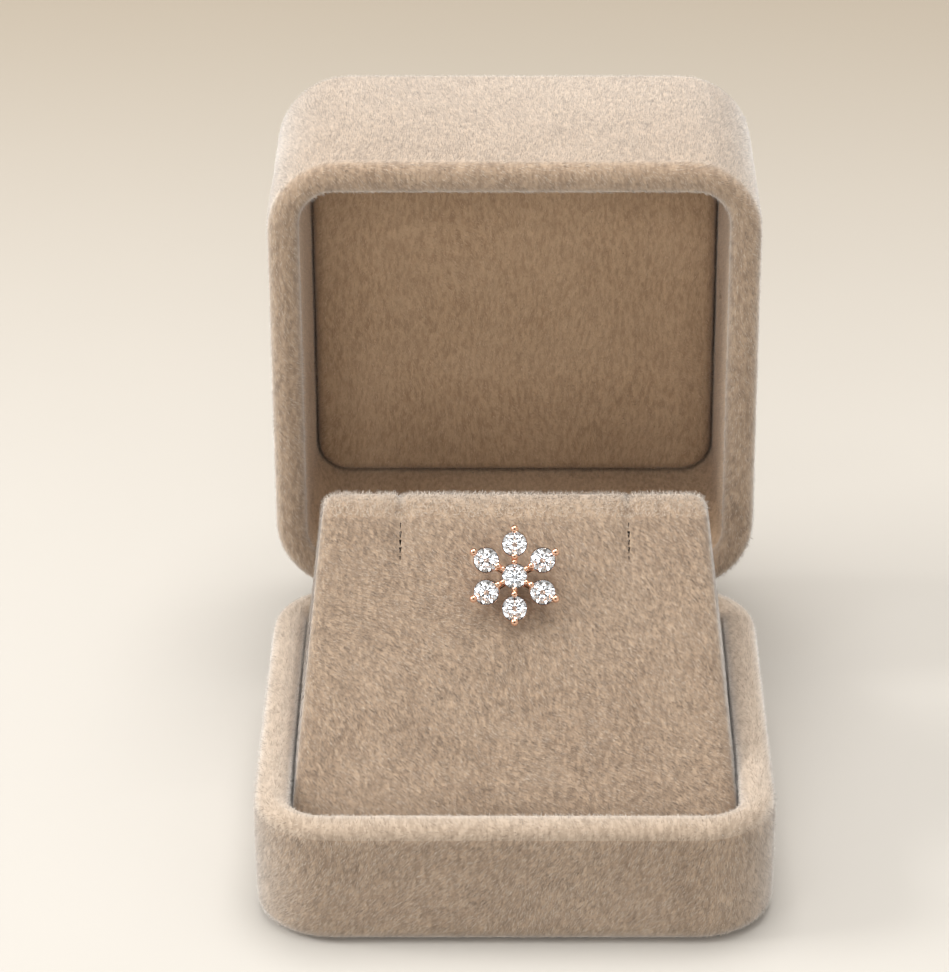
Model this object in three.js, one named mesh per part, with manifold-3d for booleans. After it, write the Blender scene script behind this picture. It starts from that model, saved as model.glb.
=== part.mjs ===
// A velvet jewellery box, standing open, with a flower-shaped nose stud pinned to its sloping pad.
// Millimetres, +Z up, +X to the right and +Y to the back. The origin is the middle of the tray's underside.
import * as THREE from "three";
import { ConvexGeometry } from "three/addons/geometries/ConvexGeometry.js";
import { mergeVertices } from "three/addons/utils/BufferGeometryUtils.js";
import Module from "manifold-3d";

const wasm = await Module();
wasm.setup();

// Outer sizes of the box
const BOX_WIDTH = 50; // along X
const BOX_DEPTH = 48.4; // along Y, and the height of the lid when it stands open
const TRAY_HEIGHT = 13; // underside to rim
const LID_HEIGHT = 27.2; // top to rim
const PLAN_RADIUS = 7.5; // upright outer corners

// Walls and edges of the box
const WALL = 3.2;
const TRAY_FLOOR = 4.5;
const LID_TOP = 3;
const INNER_RADIUS = 3.6; // upright inner corners
const RIM_ROUND = 1.6; // each side of a rim
const TRAY_FOOT_ROUND = 1.5;
const LID_TOP_ROUND = 2.5;
const INNER_EDGE_ROUND = 1.2; // where an inner wall meets the floor
const RIM_GAP = 0.5; // between the two rims when the lid is shut
const OPEN_ANGLE = 90; // degrees from shut to the position modelled here

// Clearances
const SEAT_GAP = 0.3; // between pieces that rest on or in each other
const TURN_GAP = 0.1; // round the hinge pin
const STONE_GAP = 0.06; // round a stone in its setting

// Padded panel inside the lid's top
const LINING_THICKNESS = 2.6;
const LINING_EDGE_ROUND = 1.1;

// Hinge in the back walls: its barrel is level with the back of the box
const HINGE_WIDTH = 18;
const HINGE_RADIUS = 0.95; // of the barrel
const PIN_RADIUS = 0.35;
const LID_KNUCKLE = 5.4; // width of the middle knuckle, which the lid carries
const LEAF_THICKNESS = 0.7;
const LEAF_LENGTH = 5.5; // from the axis to the leaf's far edge

// Sloping pad
const PAD_TOP = 31.2; // height of the ridge
const PAD_RUN = 27.94; // level distance from the pad's front to the slope's top edge
const PAD_RIDGE = 3; // thickness of the ridge, front to back
const PAD_TOP_WIDTH = 38.1;
const PAD_SHOULDER = 10; // height where the sides and the back start to lean in
const PAD_SIDE_RADIUS = 1.2; // edges between the slope and the sides
const PAD_RIDGE_ROUND = 1.3;

// Slits in the pad's top edge, for hooks
const SLIT_SPACING = 22.7;
const SLIT_WIDTH = 0.6;
const SLIT_LENGTH = 6; // down the slope
const SLIT_DEPTH = 2.4; // into the pad
const NOTCH_WIDTH = 2; // the slit's wide mouth at the ridge
const NOTCH_LENGTH = 1.5;

// Where the stud sits on the pad
const STUD_DOWN = 8.5; // from the slope's top edge to the stud's middle
const STUD_STANDOFF = 2.4; // from the slope to the plane of the stones' girdles
const STUD_DROOP = 10; // degrees that the stud hangs forward on its post

// Stones, all alike: round brilliants
const STONE_RADIUS = 1.21;
const STONE_TABLE_RADIUS = 0.68;
const STONE_CROWN = 0.38; // height of the crown over the girdle
const STONE_GIRDLE = 0.07; // thickness of the girdle
const STONE_PAVILION = 1.02; // depth under the girdle
const STAR_TIP_RADIUS = 0.92; // where two bezel facets and a star meet
const LOWER_TIP_RADIUS = 0.26; // where two pavilion mains part
const FOLDS = 8; // bezel facets in a stone

// Setting of the stud
const PETALS = 6;
const PETAL_RING = 3.21; // from the stud's middle to the middle of a petal stone
const CUP_LIP = 0.09; // how far a cup reaches past its stone
const CUP_DROP = 0.12; // from the girdle's middle down to the cup's rim
const CUP_BASE_RADIUS = 0.55;
const CUP_BASE = 1.32; // depth of the cups' flat backs under the girdles
const OUTER_PRONG_RING = 4.64;
const OUTER_PRONG_RADIUS = 0.385;
const OUTER_PRONG_RISE = 0.42; // height of the ball's middle over the girdles
const INNER_PRONG_RING = 1.88;
const INNER_PRONG_RADIUS = 0.33;
const INNER_PRONG_RISE = 0.5;
const BEAD_RING = 1.34;
const BEAD_RADIUS = 0.27;
const BEAD_RISE = 0.36;
const CLAW_RADIUS = 0.16; // of the claws that carry the outer balls
const CLAW_KNEE = 0.35; // depth under the girdles where a claw turns upright
const NECK_WIDTH = 0.46; // of the webs under the inner balls and beads
const NECK_TOP = 0.26;
const BAR_WIDTH = 0.56;
const BAR_HEIGHT = 0.5;
const POST_RADIUS = 0.4;
const POST_LENGTH = 7;

// Directions in a wall's section, in degrees
const INWARDS = 0;
const UPWARDS = 90;
const OUTWARDS = 180;
const DOWNWARDS = 270;

// Fineness of the faceted surfaces
const CORNER_STEPS = 3; // pairs of segments in a rounded upright corner
const ROUND_STEPS = 3; // segments in a rounded edge
const BARREL_SIDES = 16;
const CUP_SIDES = 16;
const BALL_SIDES = 10;
const BALL_RINGS = 6;
const ROD_SIDES = 8;

// Places and sizes that follow from those above
const AXIS_Y = BOX_DEPTH / 2 - HINGE_RADIUS;
const AXIS_Z = TRAY_HEIGHT + RIM_GAP / 2;
const INNER_WIDTH = BOX_WIDTH - 2 * WALL;
const INNER_DEPTH = BOX_DEPTH - 2 * WALL;
const PAD_SEAT = TRAY_FLOOR + SEAT_GAP; // height of the pad's underside
const PAD_FOOT = PAD_SEAT + INNER_EDGE_ROUND; // height where the slope starts
const PAD_FRONT = -INNER_DEPTH / 2 + SEAT_GAP;
const PAD_BACK = INNER_DEPTH / 2 - SEAT_GAP;
const PAD_EDGE_Y = PAD_FRONT + PAD_RUN;
const PAD_SLOPE = Math.atan2(PAD_TOP - PAD_FOOT, PAD_RUN);
const OVERCUT = 1; // how far a cutter runs past what it cuts
const MIDDLE_KNUCKLE = [-LID_KNUCKLE / 2, LID_KNUCKLE / 2];
const OUTER_KNUCKLES = [
  [-HINGE_WIDTH / 2, -LID_KNUCKLE / 2 - SEAT_GAP],
  [LID_KNUCKLE / 2 + SEAT_GAP, HINGE_WIDTH / 2],
];
const GIRDLE_TOP = STONE_GIRDLE / 2;
const STONE_TOP = GIRDLE_TOP + STONE_CROWN;
const STONE_TIP = -GIRDLE_TOP - STONE_PAVILION;
const CORNER_SHARE = 0.45; // the most of a side that one rounded corner takes up

// A closed solid from a three.js geometry.
function solid(geometry) {
  const bare = geometry.clone();
  bare.deleteAttribute("normal");
  bare.deleteAttribute("uv");
  const merged = mergeVertices(bare);
  return new wasm.Manifold(
    new wasm.Mesh({
      numProp: 3,
      vertProperties: merged.attributes.position.array,
      triVerts: new Uint32Array(merged.index.array),
    }),
  );
}

// All the geometries joined into one solid.
function joined(geometries) {
  return geometries.map(solid).reduce((whole, piece) => whole.add(piece));
}

// A named mesh of a solid.
function meshOf(name, body, material) {
  const mesh = body.getMesh();
  const geometry = new THREE.BufferGeometry();
  geometry.setAttribute("position", new THREE.BufferAttribute(mesh.vertProperties, 3));
  geometry.setIndex(new THREE.BufferAttribute(mesh.triVerts, 1));
  geometry.computeVertexNormals();
  const made = new THREE.Mesh(geometry, material);
  made.name = name;
  return made;
}

// A box between two corners.
function block(low, high) {
  const size = high.map((v, i) => v - low[i]);
  const middle = high.map((v, i) => (v + low[i]) / 2);
  return new THREE.BoxGeometry(...size).translate(...middle);
}

// A round rod between two points.
function rod(from, to, radius, sides) {
  const along = new THREE.Vector3().subVectors(to, from);
  const turn = new THREE.Quaternion().setFromUnitVectors(
    new THREE.Vector3(0, 1, 0),
    along.clone().normalize(),
  );
  const middle = new THREE.Vector3().addVectors(from, to).multiplyScalar(0.5);
  return new THREE.CylinderGeometry(radius, radius, along.length(), sides)
    .applyQuaternion(turn)
    .translate(middle.x, middle.y, middle.z);
}

// The points of a rounded rectangle about the origin, with its own radius at the front and at the back.
function roundedRectangle(width, depth, frontRadius, backRadius) {
  const x = width / 2;
  const y = depth / 2;
  const shape = new THREE.Shape();
  shape.absarc(x - backRadius, y - backRadius, backRadius, 0, Math.PI / 2);
  shape.absarc(backRadius - x, y - backRadius, backRadius, Math.PI / 2, Math.PI);
  shape.absarc(frontRadius - x, frontRadius - y, frontRadius, Math.PI, 1.5 * Math.PI);
  shape.absarc(x - frontRadius, frontRadius - y, frontRadius, 1.5 * Math.PI, 2 * Math.PI);
  shape.closePath();
  return shape.getPoints(CORNER_STEPS).slice(0, -1);
}

// A closed surface through rounded rectangles, one above or inside the other, with flat ends.
function lofted(rings) {
  const positions = [];
  for (const { width, front, back, z, frontRadius, backRadius } of rings)
    for (const p of roundedRectangle(width, back - front, frontRadius, backRadius))
      positions.push(p.x, p.y + (front + back) / 2, z);
  const count = positions.length / 3 / rings.length;
  const index = [];
  for (let ring = 0; ring + 1 < rings.length; ring++)
    for (let i = 0; i < count; i++) {
      const here = ring * count + i;
      const next = ring * count + ((i + 1) % count);
      index.push(here, next, next + count, here, next + count, here + count);
    }
  const last = (rings.length - 1) * count;
  for (let i = 1; i + 1 < count; i++) {
    index.push(0, i + 1, i);
    index.push(last, last + i, last + i + 1);
  }
  return new THREE.BufferGeometry()
    .setAttribute("position", new THREE.Float32BufferAttribute(positions, 3))
    .setIndex(index);
}

// Points of a rounded edge in a wall's section: how far each lies in from the box's outside, and its height.
function edgeRound(inset, z, radius, from, to) {
  const points = [];
  for (let i = 0; i <= ROUND_STEPS; i++) {
    const angle = THREE.MathUtils.degToRad(from + ((to - from) * i) / ROUND_STEPS);
    points.push({ inset: inset + radius * Math.cos(angle), z: z + radius * Math.sin(angle) });
  }
  return points;
}

// The rounded rectangle that lies inset from the box's outside all round.
function boxRing({ inset, z }, radius) {
  return {
    width: BOX_WIDTH - 2 * inset,
    front: inset - BOX_DEPTH / 2,
    back: BOX_DEPTH / 2 - inset,
    z,
    frontRadius: radius,
    backRadius: radius,
  };
}

// Half of the box, open upwards: a rounded foot, straight walls, a rounded rim and a hollow with a flat floor.
function openShell(height, floor, footRound) {
  const rimRound = Math.min(RIM_ROUND, WALL / 2);
  const rimRadius = (inset) => PLAN_RADIUS + ((INNER_RADIUS - PLAN_RADIUS) * inset) / WALL;
  const foot = edgeRound(footRound, footRound, footRound, DOWNWARDS, OUTWARDS);
  const rimOut = edgeRound(rimRound, height - rimRound, rimRound, OUTWARDS, UPWARDS);
  const rimIn = edgeRound(WALL - rimRound, height - rimRound, rimRound, UPWARDS, INWARDS);
  const well = edgeRound(
    WALL + INNER_EDGE_ROUND,
    floor + INNER_EDGE_ROUND,
    INNER_EDGE_ROUND,
    OUTWARDS,
    DOWNWARDS,
  );
  const rim = rimRound < WALL / 2 ? [...rimOut, ...rimIn] : [...rimOut, ...rimIn.slice(1)];
  return lofted([
    ...foot.map((p) => boxRing(p, PLAN_RADIUS - p.inset)),
    ...rim.map((p) => boxRing(p, rimRadius(p.inset))),
    ...well.map((p) => boxRing(p, INNER_RADIUS + WALL - p.inset)),
  ]);
}

// The room that one half of the hinge takes in a back wall, with the hinge axis as its origin.
function hingePocket() {
  const side = HINGE_WIDTH / 2 + SEAT_GAP;
  const above = RIM_GAP + OVERCUT;
  const inner = -HINGE_RADIUS - SEAT_GAP;
  const leafSlot = block(
    [-side, inner, -LEAF_LENGTH - SEAT_GAP],
    [side, LEAF_THICKNESS - HINGE_RADIUS + SEAT_GAP, above],
  );
  const barrelNotch = block([-side, inner, inner], [side, HINGE_RADIUS + OVERCUT, above]);
  return joined([leafSlot, barrelNotch]);
}

// Half of the box with its hinge pocket, with the hinge axis as its origin and its rim just under it.
function boxHalf(height, floor, footRound) {
  const shell = openShell(height, floor, footRound).translate(0, -AXIS_Y, -height - RIM_GAP / 2);
  return solid(shell).subtract(hingePocket());
}

// A round bar about the hinge axis.
function hingeRound([from, to], radius) {
  return rod(new THREE.Vector3(from, 0, 0), new THREE.Vector3(to, 0, 0), radius, BARREL_SIDES);
}

// Half of the hinge: a leaf that hangs from the axis, with its own knuckles and room for the other half's.
function hingeLeaf(ownKnuckles, otherKnuckles) {
  const leaf = block(
    [-HINGE_WIDTH / 2, -HINGE_RADIUS, -LEAF_LENGTH],
    [HINGE_WIDTH / 2, LEAF_THICKNESS - HINGE_RADIUS, 0],
  );
  const clear = HINGE_RADIUS + SEAT_GAP;
  const room = otherKnuckles.map(([from, to]) =>
    block([from - SEAT_GAP, -clear, -clear], [to + SEAT_GAP, clear, clear]),
  );
  const barrel = ownKnuckles.map((span) => hingeRound(span, HINGE_RADIUS));
  return solid(leaf).subtract(joined(room)).add(joined(barrel));
}

// The tray's half of the hinge, which holds the pin.
function hingeTrayLeaf() {
  const pin = hingeRound([-HINGE_WIDTH / 2, HINGE_WIDTH / 2], PIN_RADIUS);
  return hingeLeaf(OUTER_KNUCKLES, [MIDDLE_KNUCKLE]).add(solid(pin));
}

// The lid's half of the hinge, bored to turn on the pin.
function hingeLidLeaf() {
  const bore = hingeRound([-HINGE_WIDTH / 2, HINGE_WIDTH / 2], PIN_RADIUS + TURN_GAP);
  return hingeLeaf([MIDDLE_KNUCKLE], OUTER_KNUCKLES).subtract(solid(bore));
}

// The padded panel that lies on the inside of the lid's top, with a rounded edge towards the rim.
function lidLining() {
  const base = LID_TOP + SEAT_GAP;
  const inset = WALL + SEAT_GAP;
  const face = edgeRound(
    inset + LINING_EDGE_ROUND,
    base + LINING_THICKNESS - LINING_EDGE_ROUND,
    LINING_EDGE_ROUND,
    OUTWARDS,
    UPWARDS,
  );
  const foot = { inset: inset + INNER_EDGE_ROUND, z: base };
  const rings = [foot, { inset, z: base + INNER_EDGE_ROUND }, ...face];
  const panel = lofted(rings.map((p) => boxRing(p, INNER_RADIUS + WALL - p.inset)));
  return solid(panel.translate(0, -AXIS_Y, -LID_HEIGHT - RIM_GAP / 2));
}

// How far z is from low to high, as a share.
function share(z, low, high) {
  return THREE.MathUtils.clamp((z - low) / (high - low), 0, 1);
}

// The pad's outline at one height, drawn in by inset all round.
function padRing({ inset, z }) {
  const { lerp } = THREE.MathUtils;
  const lean = share(z, PAD_SHOULDER, PAD_TOP);
  const width = lerp(INNER_WIDTH - 2 * SEAT_GAP, PAD_TOP_WIDTH, lean) - 2 * inset;
  const front = PAD_FRONT + PAD_RUN * share(z, PAD_FOOT, PAD_TOP) + inset;
  const back = lerp(PAD_BACK, PAD_EDGE_Y + PAD_RIDGE, lean) - inset;
  const widest = (back - front) * CORNER_SHARE;
  return {
    width,
    front,
    back,
    z,
    frontRadius: Math.min(
      lerp(INNER_RADIUS, PAD_SIDE_RADIUS, share(z, PAD_FOOT, PAD_SHOULDER)),
      widest,
    ),
    backRadius: Math.min(lerp(INNER_RADIUS, PAD_SIDE_RADIUS, lean), widest),
  };
}

// Cuts one slit with its wide mouth, from the slope's top edge downwards.
function slitCutter() {
  const half = SLIT_WIDTH / 2;
  const mouth = NOTCH_WIDTH / 2;
  const outline = new THREE.Shape();
  outline.moveTo(-half, -SLIT_LENGTH);
  outline.lineTo(half, -SLIT_LENGTH);
  outline.lineTo(half, -NOTCH_LENGTH);
  outline.lineTo(mouth, 0);
  outline.lineTo(mouth, PAD_RIDGE);
  outline.lineTo(-mouth, PAD_RIDGE);
  outline.lineTo(-mouth, 0);
  outline.lineTo(-half, -NOTCH_LENGTH);
  return new THREE.ExtrudeGeometry(outline, {
    depth: SLIT_DEPTH + OVERCUT,
    bevelEnabled: false,
  }).translate(0, 0, -SLIT_DEPTH);
}

// The pad: a wedge that fills the tray, with a rounded ridge, two slits and a hole for the stud's post.
function pad(slope, stud) {
  const ridge = edgeRound(
    PAD_RIDGE_ROUND,
    PAD_TOP - PAD_RIDGE_ROUND,
    PAD_RIDGE_ROUND,
    OUTWARDS,
    UPWARDS,
  );
  const foot = { inset: INNER_EDGE_ROUND, z: PAD_SEAT };
  const levels = [PAD_FOOT, PAD_SHOULDER].map((z) => ({ inset: 0, z }));
  const wedge = solid(lofted([foot, ...levels, ...ridge].map(padRing)));
  const slits = [-1, 1].map((side) =>
    slitCutter()
      .translate((side * SLIT_SPACING) / 2, 0, 0)
      .applyMatrix4(slope.matrix),
  );
  const hole = rod(
    new THREE.Vector3(0, 0, 0),
    new THREE.Vector3(0, 0, -CUP_BASE - POST_LENGTH - SEAT_GAP),
    POST_RADIUS + SEAT_GAP,
    ROD_SIDES,
  ).applyMatrix4(stud.matrix);
  return wedge.subtract(joined([...slits, hole]));
}

// Height over the girdle's top of a bezel facet, at the radius where the stars' tips lie.
function starTipHeight() {
  const across = STAR_TIP_RADIUS * Math.cos(Math.PI / FOLDS);
  return (STONE_CROWN * (STONE_RADIUS - across)) / (STONE_RADIUS - STONE_TABLE_RADIUS);
}

// A round brilliant: table, stars, bezels, girdle, pavilion mains and the small facets between them.
function brilliant() {
  const lowerAcross = LOWER_TIP_RADIUS * Math.cos(Math.PI / FOLDS);
  const points = [new THREE.Vector3(0, 0, STONE_TIP)];
  const ringOf = (radius, z, offset) => {
    for (let i = 0; i < FOLDS; i++) {
      const angle = ((i + offset) * 2 * Math.PI) / FOLDS;
      points.push(new THREE.Vector3(radius * Math.cos(angle), radius * Math.sin(angle), z));
    }
  };
  ringOf(STONE_TABLE_RADIUS, STONE_TOP, 0);
  ringOf(STAR_TIP_RADIUS, GIRDLE_TOP + starTipHeight(), 0.5);
  for (const z of [GIRDLE_TOP, -GIRDLE_TOP])
    for (const offset of [0, 0.5]) ringOf(STONE_RADIUS, z, offset);
  ringOf(LOWER_TIP_RADIUS, STONE_TIP + (STONE_PAVILION * lowerAcross) / STONE_RADIUS, 0.5);
  return new ConvexGeometry(points);
}

// The room that a stone needs in its setting: its outline turned round, a small gap larger.
function stoneRoom() {
  const gap = STONE_GAP;
  const slant = Math.hypot(STONE_RADIUS, STONE_PAVILION);
  const outline = [
    [0, STONE_TIP - (gap * slant) / STONE_RADIUS],
    [STONE_RADIUS + gap, -GIRDLE_TOP],
    [STONE_RADIUS + gap, GIRDLE_TOP + gap],
    [STAR_TIP_RADIUS + gap, GIRDLE_TOP + starTipHeight() + gap],
    [STONE_TABLE_RADIUS + gap, STONE_TOP + gap],
    [0, STONE_TOP + gap],
  ].map(([radius, z]) => new THREE.Vector2(radius, z));
  return new THREE.LatheGeometry(outline, CUP_SIDES).rotateX(Math.PI / 2);
}

// The conical cup under a stone.
function cup() {
  return new THREE.CylinderGeometry(
    STONE_RADIUS + CUP_LIP,
    CUP_BASE_RADIUS,
    CUP_BASE - CUP_DROP,
    CUP_SIDES,
  )
    .rotateX(Math.PI / 2)
    .translate(0, 0, -(CUP_BASE + CUP_DROP) / 2);
}

// A ball on the petal's centre line.
function ball(ring, rise, radius) {
  return new THREE.SphereGeometry(radius, BALL_SIDES, BALL_RINGS)
    .rotateX(Math.PI / 2)
    .translate(0, ring, rise);
}

// One petal's metal, pointing along +Y: cup, bar, web, claw, balls and bead.
function petalMetal() {
  const web = block(
    [-NECK_WIDTH / 2, BEAD_RING, -CUP_BASE],
    [NECK_WIDTH / 2, INNER_PRONG_RING, NECK_TOP],
  );
  const bar = block([-BAR_WIDTH / 2, 0, -CUP_BASE], [BAR_WIDTH / 2, PETAL_RING, BAR_HEIGHT - CUP_BASE]);
  const root = new THREE.Vector3(0, PETAL_RING + CUP_BASE_RADIUS - CLAW_RADIUS, CLAW_RADIUS - CUP_BASE);
  const knee = new THREE.Vector3(0, OUTER_PRONG_RING, -CLAW_KNEE);
  const tip = new THREE.Vector3(0, OUTER_PRONG_RING, OUTER_PRONG_RISE);
  return [
    cup().translate(0, PETAL_RING, 0),
    bar,
    web,
    rod(root, knee, CLAW_RADIUS, ROD_SIDES),
    rod(knee, tip, CLAW_RADIUS, ROD_SIDES),
    ball(OUTER_PRONG_RING, OUTER_PRONG_RISE, OUTER_PRONG_RADIUS),
    ball(INNER_PRONG_RING, INNER_PRONG_RISE, INNER_PRONG_RADIUS),
    ball(BEAD_RING, BEAD_RISE, BEAD_RADIUS),
  ];
}

// The angle of each petal from the one that points up.
const PETAL_ANGLES = Array.from({ length: PETALS }, (_, i) => (i * 2 * Math.PI) / PETALS);

// All the stud's metal, soldered into one piece, with a seat for each stone.
function studFrame() {
  const metal = [cup()];
  const seats = [stoneRoom()];
  for (const angle of PETAL_ANGLES) {
    for (const piece of petalMetal()) metal.push(piece.rotateZ(angle));
    seats.push(stoneRoom().translate(0, PETAL_RING, 0).rotateZ(angle));
  }
  const back = new THREE.Vector3(0, 0, -CUP_BASE);
  const end = new THREE.Vector3(0, 0, -CUP_BASE - POST_LENGTH);
  const post = rod(back, end, POST_RADIUS, ROD_SIDES);
  return joined(metal).subtract(joined(seats)).add(solid(post));
}

const MATERIALS = {
  velvet: { color: 0xbda58b, roughness: 0.95, metalness: 0 },
  lining: { color: 0x957a5f, roughness: 0.95, metalness: 0 },
  roseGold: { color: 0xe3a587, roughness: 0.22, metalness: 1 },
  steel: { color: 0xb9b4ac, roughness: 0.35, metalness: 1 },
  stone: { color: 0xf1f3f8, roughness: 0.02, metalness: 0 },
};

// A mesh with a material of its own.
function piece(name, body, look) {
  return meshOf(name, body, new THREE.MeshStandardMaterial(MATERIALS[look]));
}

// The slope's own frame: its origin is the middle of the top edge, +Y runs up the slope and +Z stands off it.
const slope = new THREE.Group();
slope.position.set(0, PAD_EDGE_Y, PAD_TOP);
slope.rotation.x = PAD_SLOPE;
slope.updateMatrix();

// The stud's own frame: its origin is the middle of the centre stone, and +Z faces away from the pad.
const stud = new THREE.Group();
stud.position.set(0, -STUD_DOWN, STUD_STANDOFF).applyMatrix4(slope.matrix);
stud.rotation.x = PAD_SLOPE + THREE.MathUtils.degToRad(STUD_DROOP);
stud.updateMatrix();
stud.add(piece("stud_frame", studFrame(), "roseGold"), piece("centre_stone", solid(brilliant()), "stone"));
PETAL_ANGLES.forEach((angle, i) => {
  const petal = new THREE.Group();
  petal.rotation.z = angle;
  const stone = piece(`petal_stone_${i + 1}`, solid(brilliant()), "stone");
  stone.position.y = PETAL_RING;
  petal.add(stone);
  stud.add(petal);
});

// The tray hangs from the hinge axis as the lid does, the right way up.
const base = new THREE.Group();
base.position.set(0, AXIS_Y, AXIS_Z);
base.add(
  piece("tray", boxHalf(TRAY_HEIGHT, TRAY_FLOOR, TRAY_FOOT_ROUND), "velvet"),
  piece("hinge_tray_leaf", hingeTrayLeaf(), "steel"),
);

// The lid is turned over about the hinge axis, then swung open.
const lidOver = new THREE.Group();
lidOver.rotation.y = Math.PI;
lidOver.add(
  piece("lid_shell", boxHalf(LID_HEIGHT, LID_TOP, LID_TOP_ROUND), "velvet"),
  piece("lid_lining", lidLining(), "lining"),
  piece("hinge_lid_leaf", hingeLidLeaf(), "steel"),
);
const lid = new THREE.Group();
lid.position.copy(base.position);
lid.rotation.x = -THREE.MathUtils.degToRad(OPEN_ANGLE);
lid.add(lidOver);

const jewelBox = new THREE.Group();
jewelBox.add(base, lid, piece("pad", pad(slope, stud), "velvet"), stud);

export default jewelBox;
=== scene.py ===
"""A velvet jewellery box, standing open, with a flower-shaped nose stud pinned to its sloping pad.

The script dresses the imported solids. Lengths are in metres, +Z up, +X to the right and +Y to the back,
and the origin is the middle of the tray's underside.
"""

import logging
import math
from collections.abc import Iterable, Sequence
from dataclasses import dataclass
from enum import Enum, IntEnum

import bmesh
import bpy
import numpy as np
from mathutils import Matrix, Vector


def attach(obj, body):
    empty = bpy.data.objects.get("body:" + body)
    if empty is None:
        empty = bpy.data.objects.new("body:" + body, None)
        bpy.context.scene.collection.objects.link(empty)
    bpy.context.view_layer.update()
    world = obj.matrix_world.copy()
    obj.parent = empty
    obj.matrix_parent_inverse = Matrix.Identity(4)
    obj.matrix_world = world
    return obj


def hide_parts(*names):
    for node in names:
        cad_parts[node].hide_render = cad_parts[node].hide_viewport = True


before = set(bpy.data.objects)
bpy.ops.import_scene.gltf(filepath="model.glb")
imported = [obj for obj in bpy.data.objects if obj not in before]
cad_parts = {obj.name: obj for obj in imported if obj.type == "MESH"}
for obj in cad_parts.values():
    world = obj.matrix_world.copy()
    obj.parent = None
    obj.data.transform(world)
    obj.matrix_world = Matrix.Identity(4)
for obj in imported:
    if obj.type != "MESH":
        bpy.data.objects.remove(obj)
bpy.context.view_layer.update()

LOG = logging.getLogger("jewellery_box")
MM = 0.001
SHARP_ANGLE = math.radians(40)
MERGE_DISTANCE = 1e-7
# How far a cutter reaches past the surface that it opens.
OVERSHOOT = 1 * MM
Colour = tuple[float, float, float]


def opaque(colour: Colour) -> tuple[float, float, float, float]:
    """The colour with full alpha."""
    return (*colour, 1.0)


class Zone(IntEnum):
    """What a face of a velvet piece is, kept as its material index."""

    OUTSIDE = 0
    RIM = 1
    INSIDE = 2
    BARE = 3


@dataclass(frozen=True)
class BoxSizes:
    """Sizes that the tray, the lid, the pad and the hinge share."""

    width: float = 50 * MM
    depth: float = 48.4 * MM
    tray_height: float = 13 * MM
    lid_height: float = 27.2 * MM
    plan_radius: float = 7.5 * MM
    inner_radius: float = 3.6 * MM
    wall: float = 3.2 * MM
    tray_floor: float = 4.5 * MM
    lid_top: float = 3 * MM
    inner_edge_round: float = 1.2 * MM
    rim_gap: float = 0.5 * MM
    seat_gap: float = 0.3 * MM
    hinge_width: float = 18 * MM
    hinge_radius: float = 0.95 * MM
    leaf_thickness: float = 0.7 * MM
    leaf_length: float = 5.5 * MM

    @property
    def axis_y(self) -> float:
        """Distance of the hinge axis behind the tray's middle."""
        return self.depth / 2 - self.hinge_radius

    @property
    def axis_z(self) -> float:
        """Height of the hinge axis."""
        return self.tray_height + self.rim_gap / 2


SIZES = BoxSizes()


@dataclass(frozen=True)
class Ring:
    """A level rounded rectangle, with its own corner radius at the front and at the back."""

    width: float
    front: float
    back: float
    z: float
    front_radius: float
    back_radius: float


@dataclass(frozen=True)
class WallPoint:
    """A point of a wall's section: how far it lies in from the outside, and its height."""

    inset: float
    z: float


class Section(Enum):
    """Start and end, in degrees, of a rounded edge in a wall's section. 0 points into the box and 90 up."""

    FOOT = (270, 180)
    OUTER_RIM = (180, 90)
    INNER_RIM = (90, 0)
    WELL = (180, 270)

    def points(self, inset: float, z: float, radius: float, steps: int) -> list[WallPoint]:
        """Points along the rounded edge.

        Args:
            inset: how far the round's centre lies in from the outside.
            z: height of the round's centre.
            radius: radius of the round.
            steps: number of segments.

        Returns:
            The points, from the edge's start to its end.
        """
        start, end = self.value
        angles = [math.radians(start + (end - start) * i / steps) for i in range(steps + 1)]
        return [WallPoint(inset + radius * math.cos(a), z + radius * math.sin(a)) for a in angles]


def wall_ring(point: WallPoint, radius: float) -> Ring:
    """The ring at one point of a wall's section, with one radius for its corners."""
    depth = SIZES.depth / 2 - point.inset
    return Ring(SIZES.width - 2 * point.inset, -depth, depth, point.z, radius, radius)


def corner_places(ring: Ring, steps: int) -> list[Vector]:
    """Places of the vertices round one ring, corner by corner.

    Args:
        ring: the ring.
        steps: number of segments in a corner.

    Returns:
        The places, counter-clockwise from the right-hand end of the back's right corner.
    """
    x = ring.width / 2
    corners = [
        (x - ring.back_radius, ring.back - ring.back_radius, ring.back_radius),
        (ring.back_radius - x, ring.back - ring.back_radius, ring.back_radius),
        (ring.front_radius - x, ring.front + ring.front_radius, ring.front_radius),
        (x - ring.front_radius, ring.front + ring.front_radius, ring.front_radius),
    ]
    places = []
    for quarter, (cx, cy, radius) in enumerate(corners):
        for step in range(steps + 1):
            angle = math.radians(90 * (quarter + step / steps))
            places.append(Vector((cx + radius * math.cos(angle), cy + radius * math.sin(angle), ring.z)))
    return places


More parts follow.
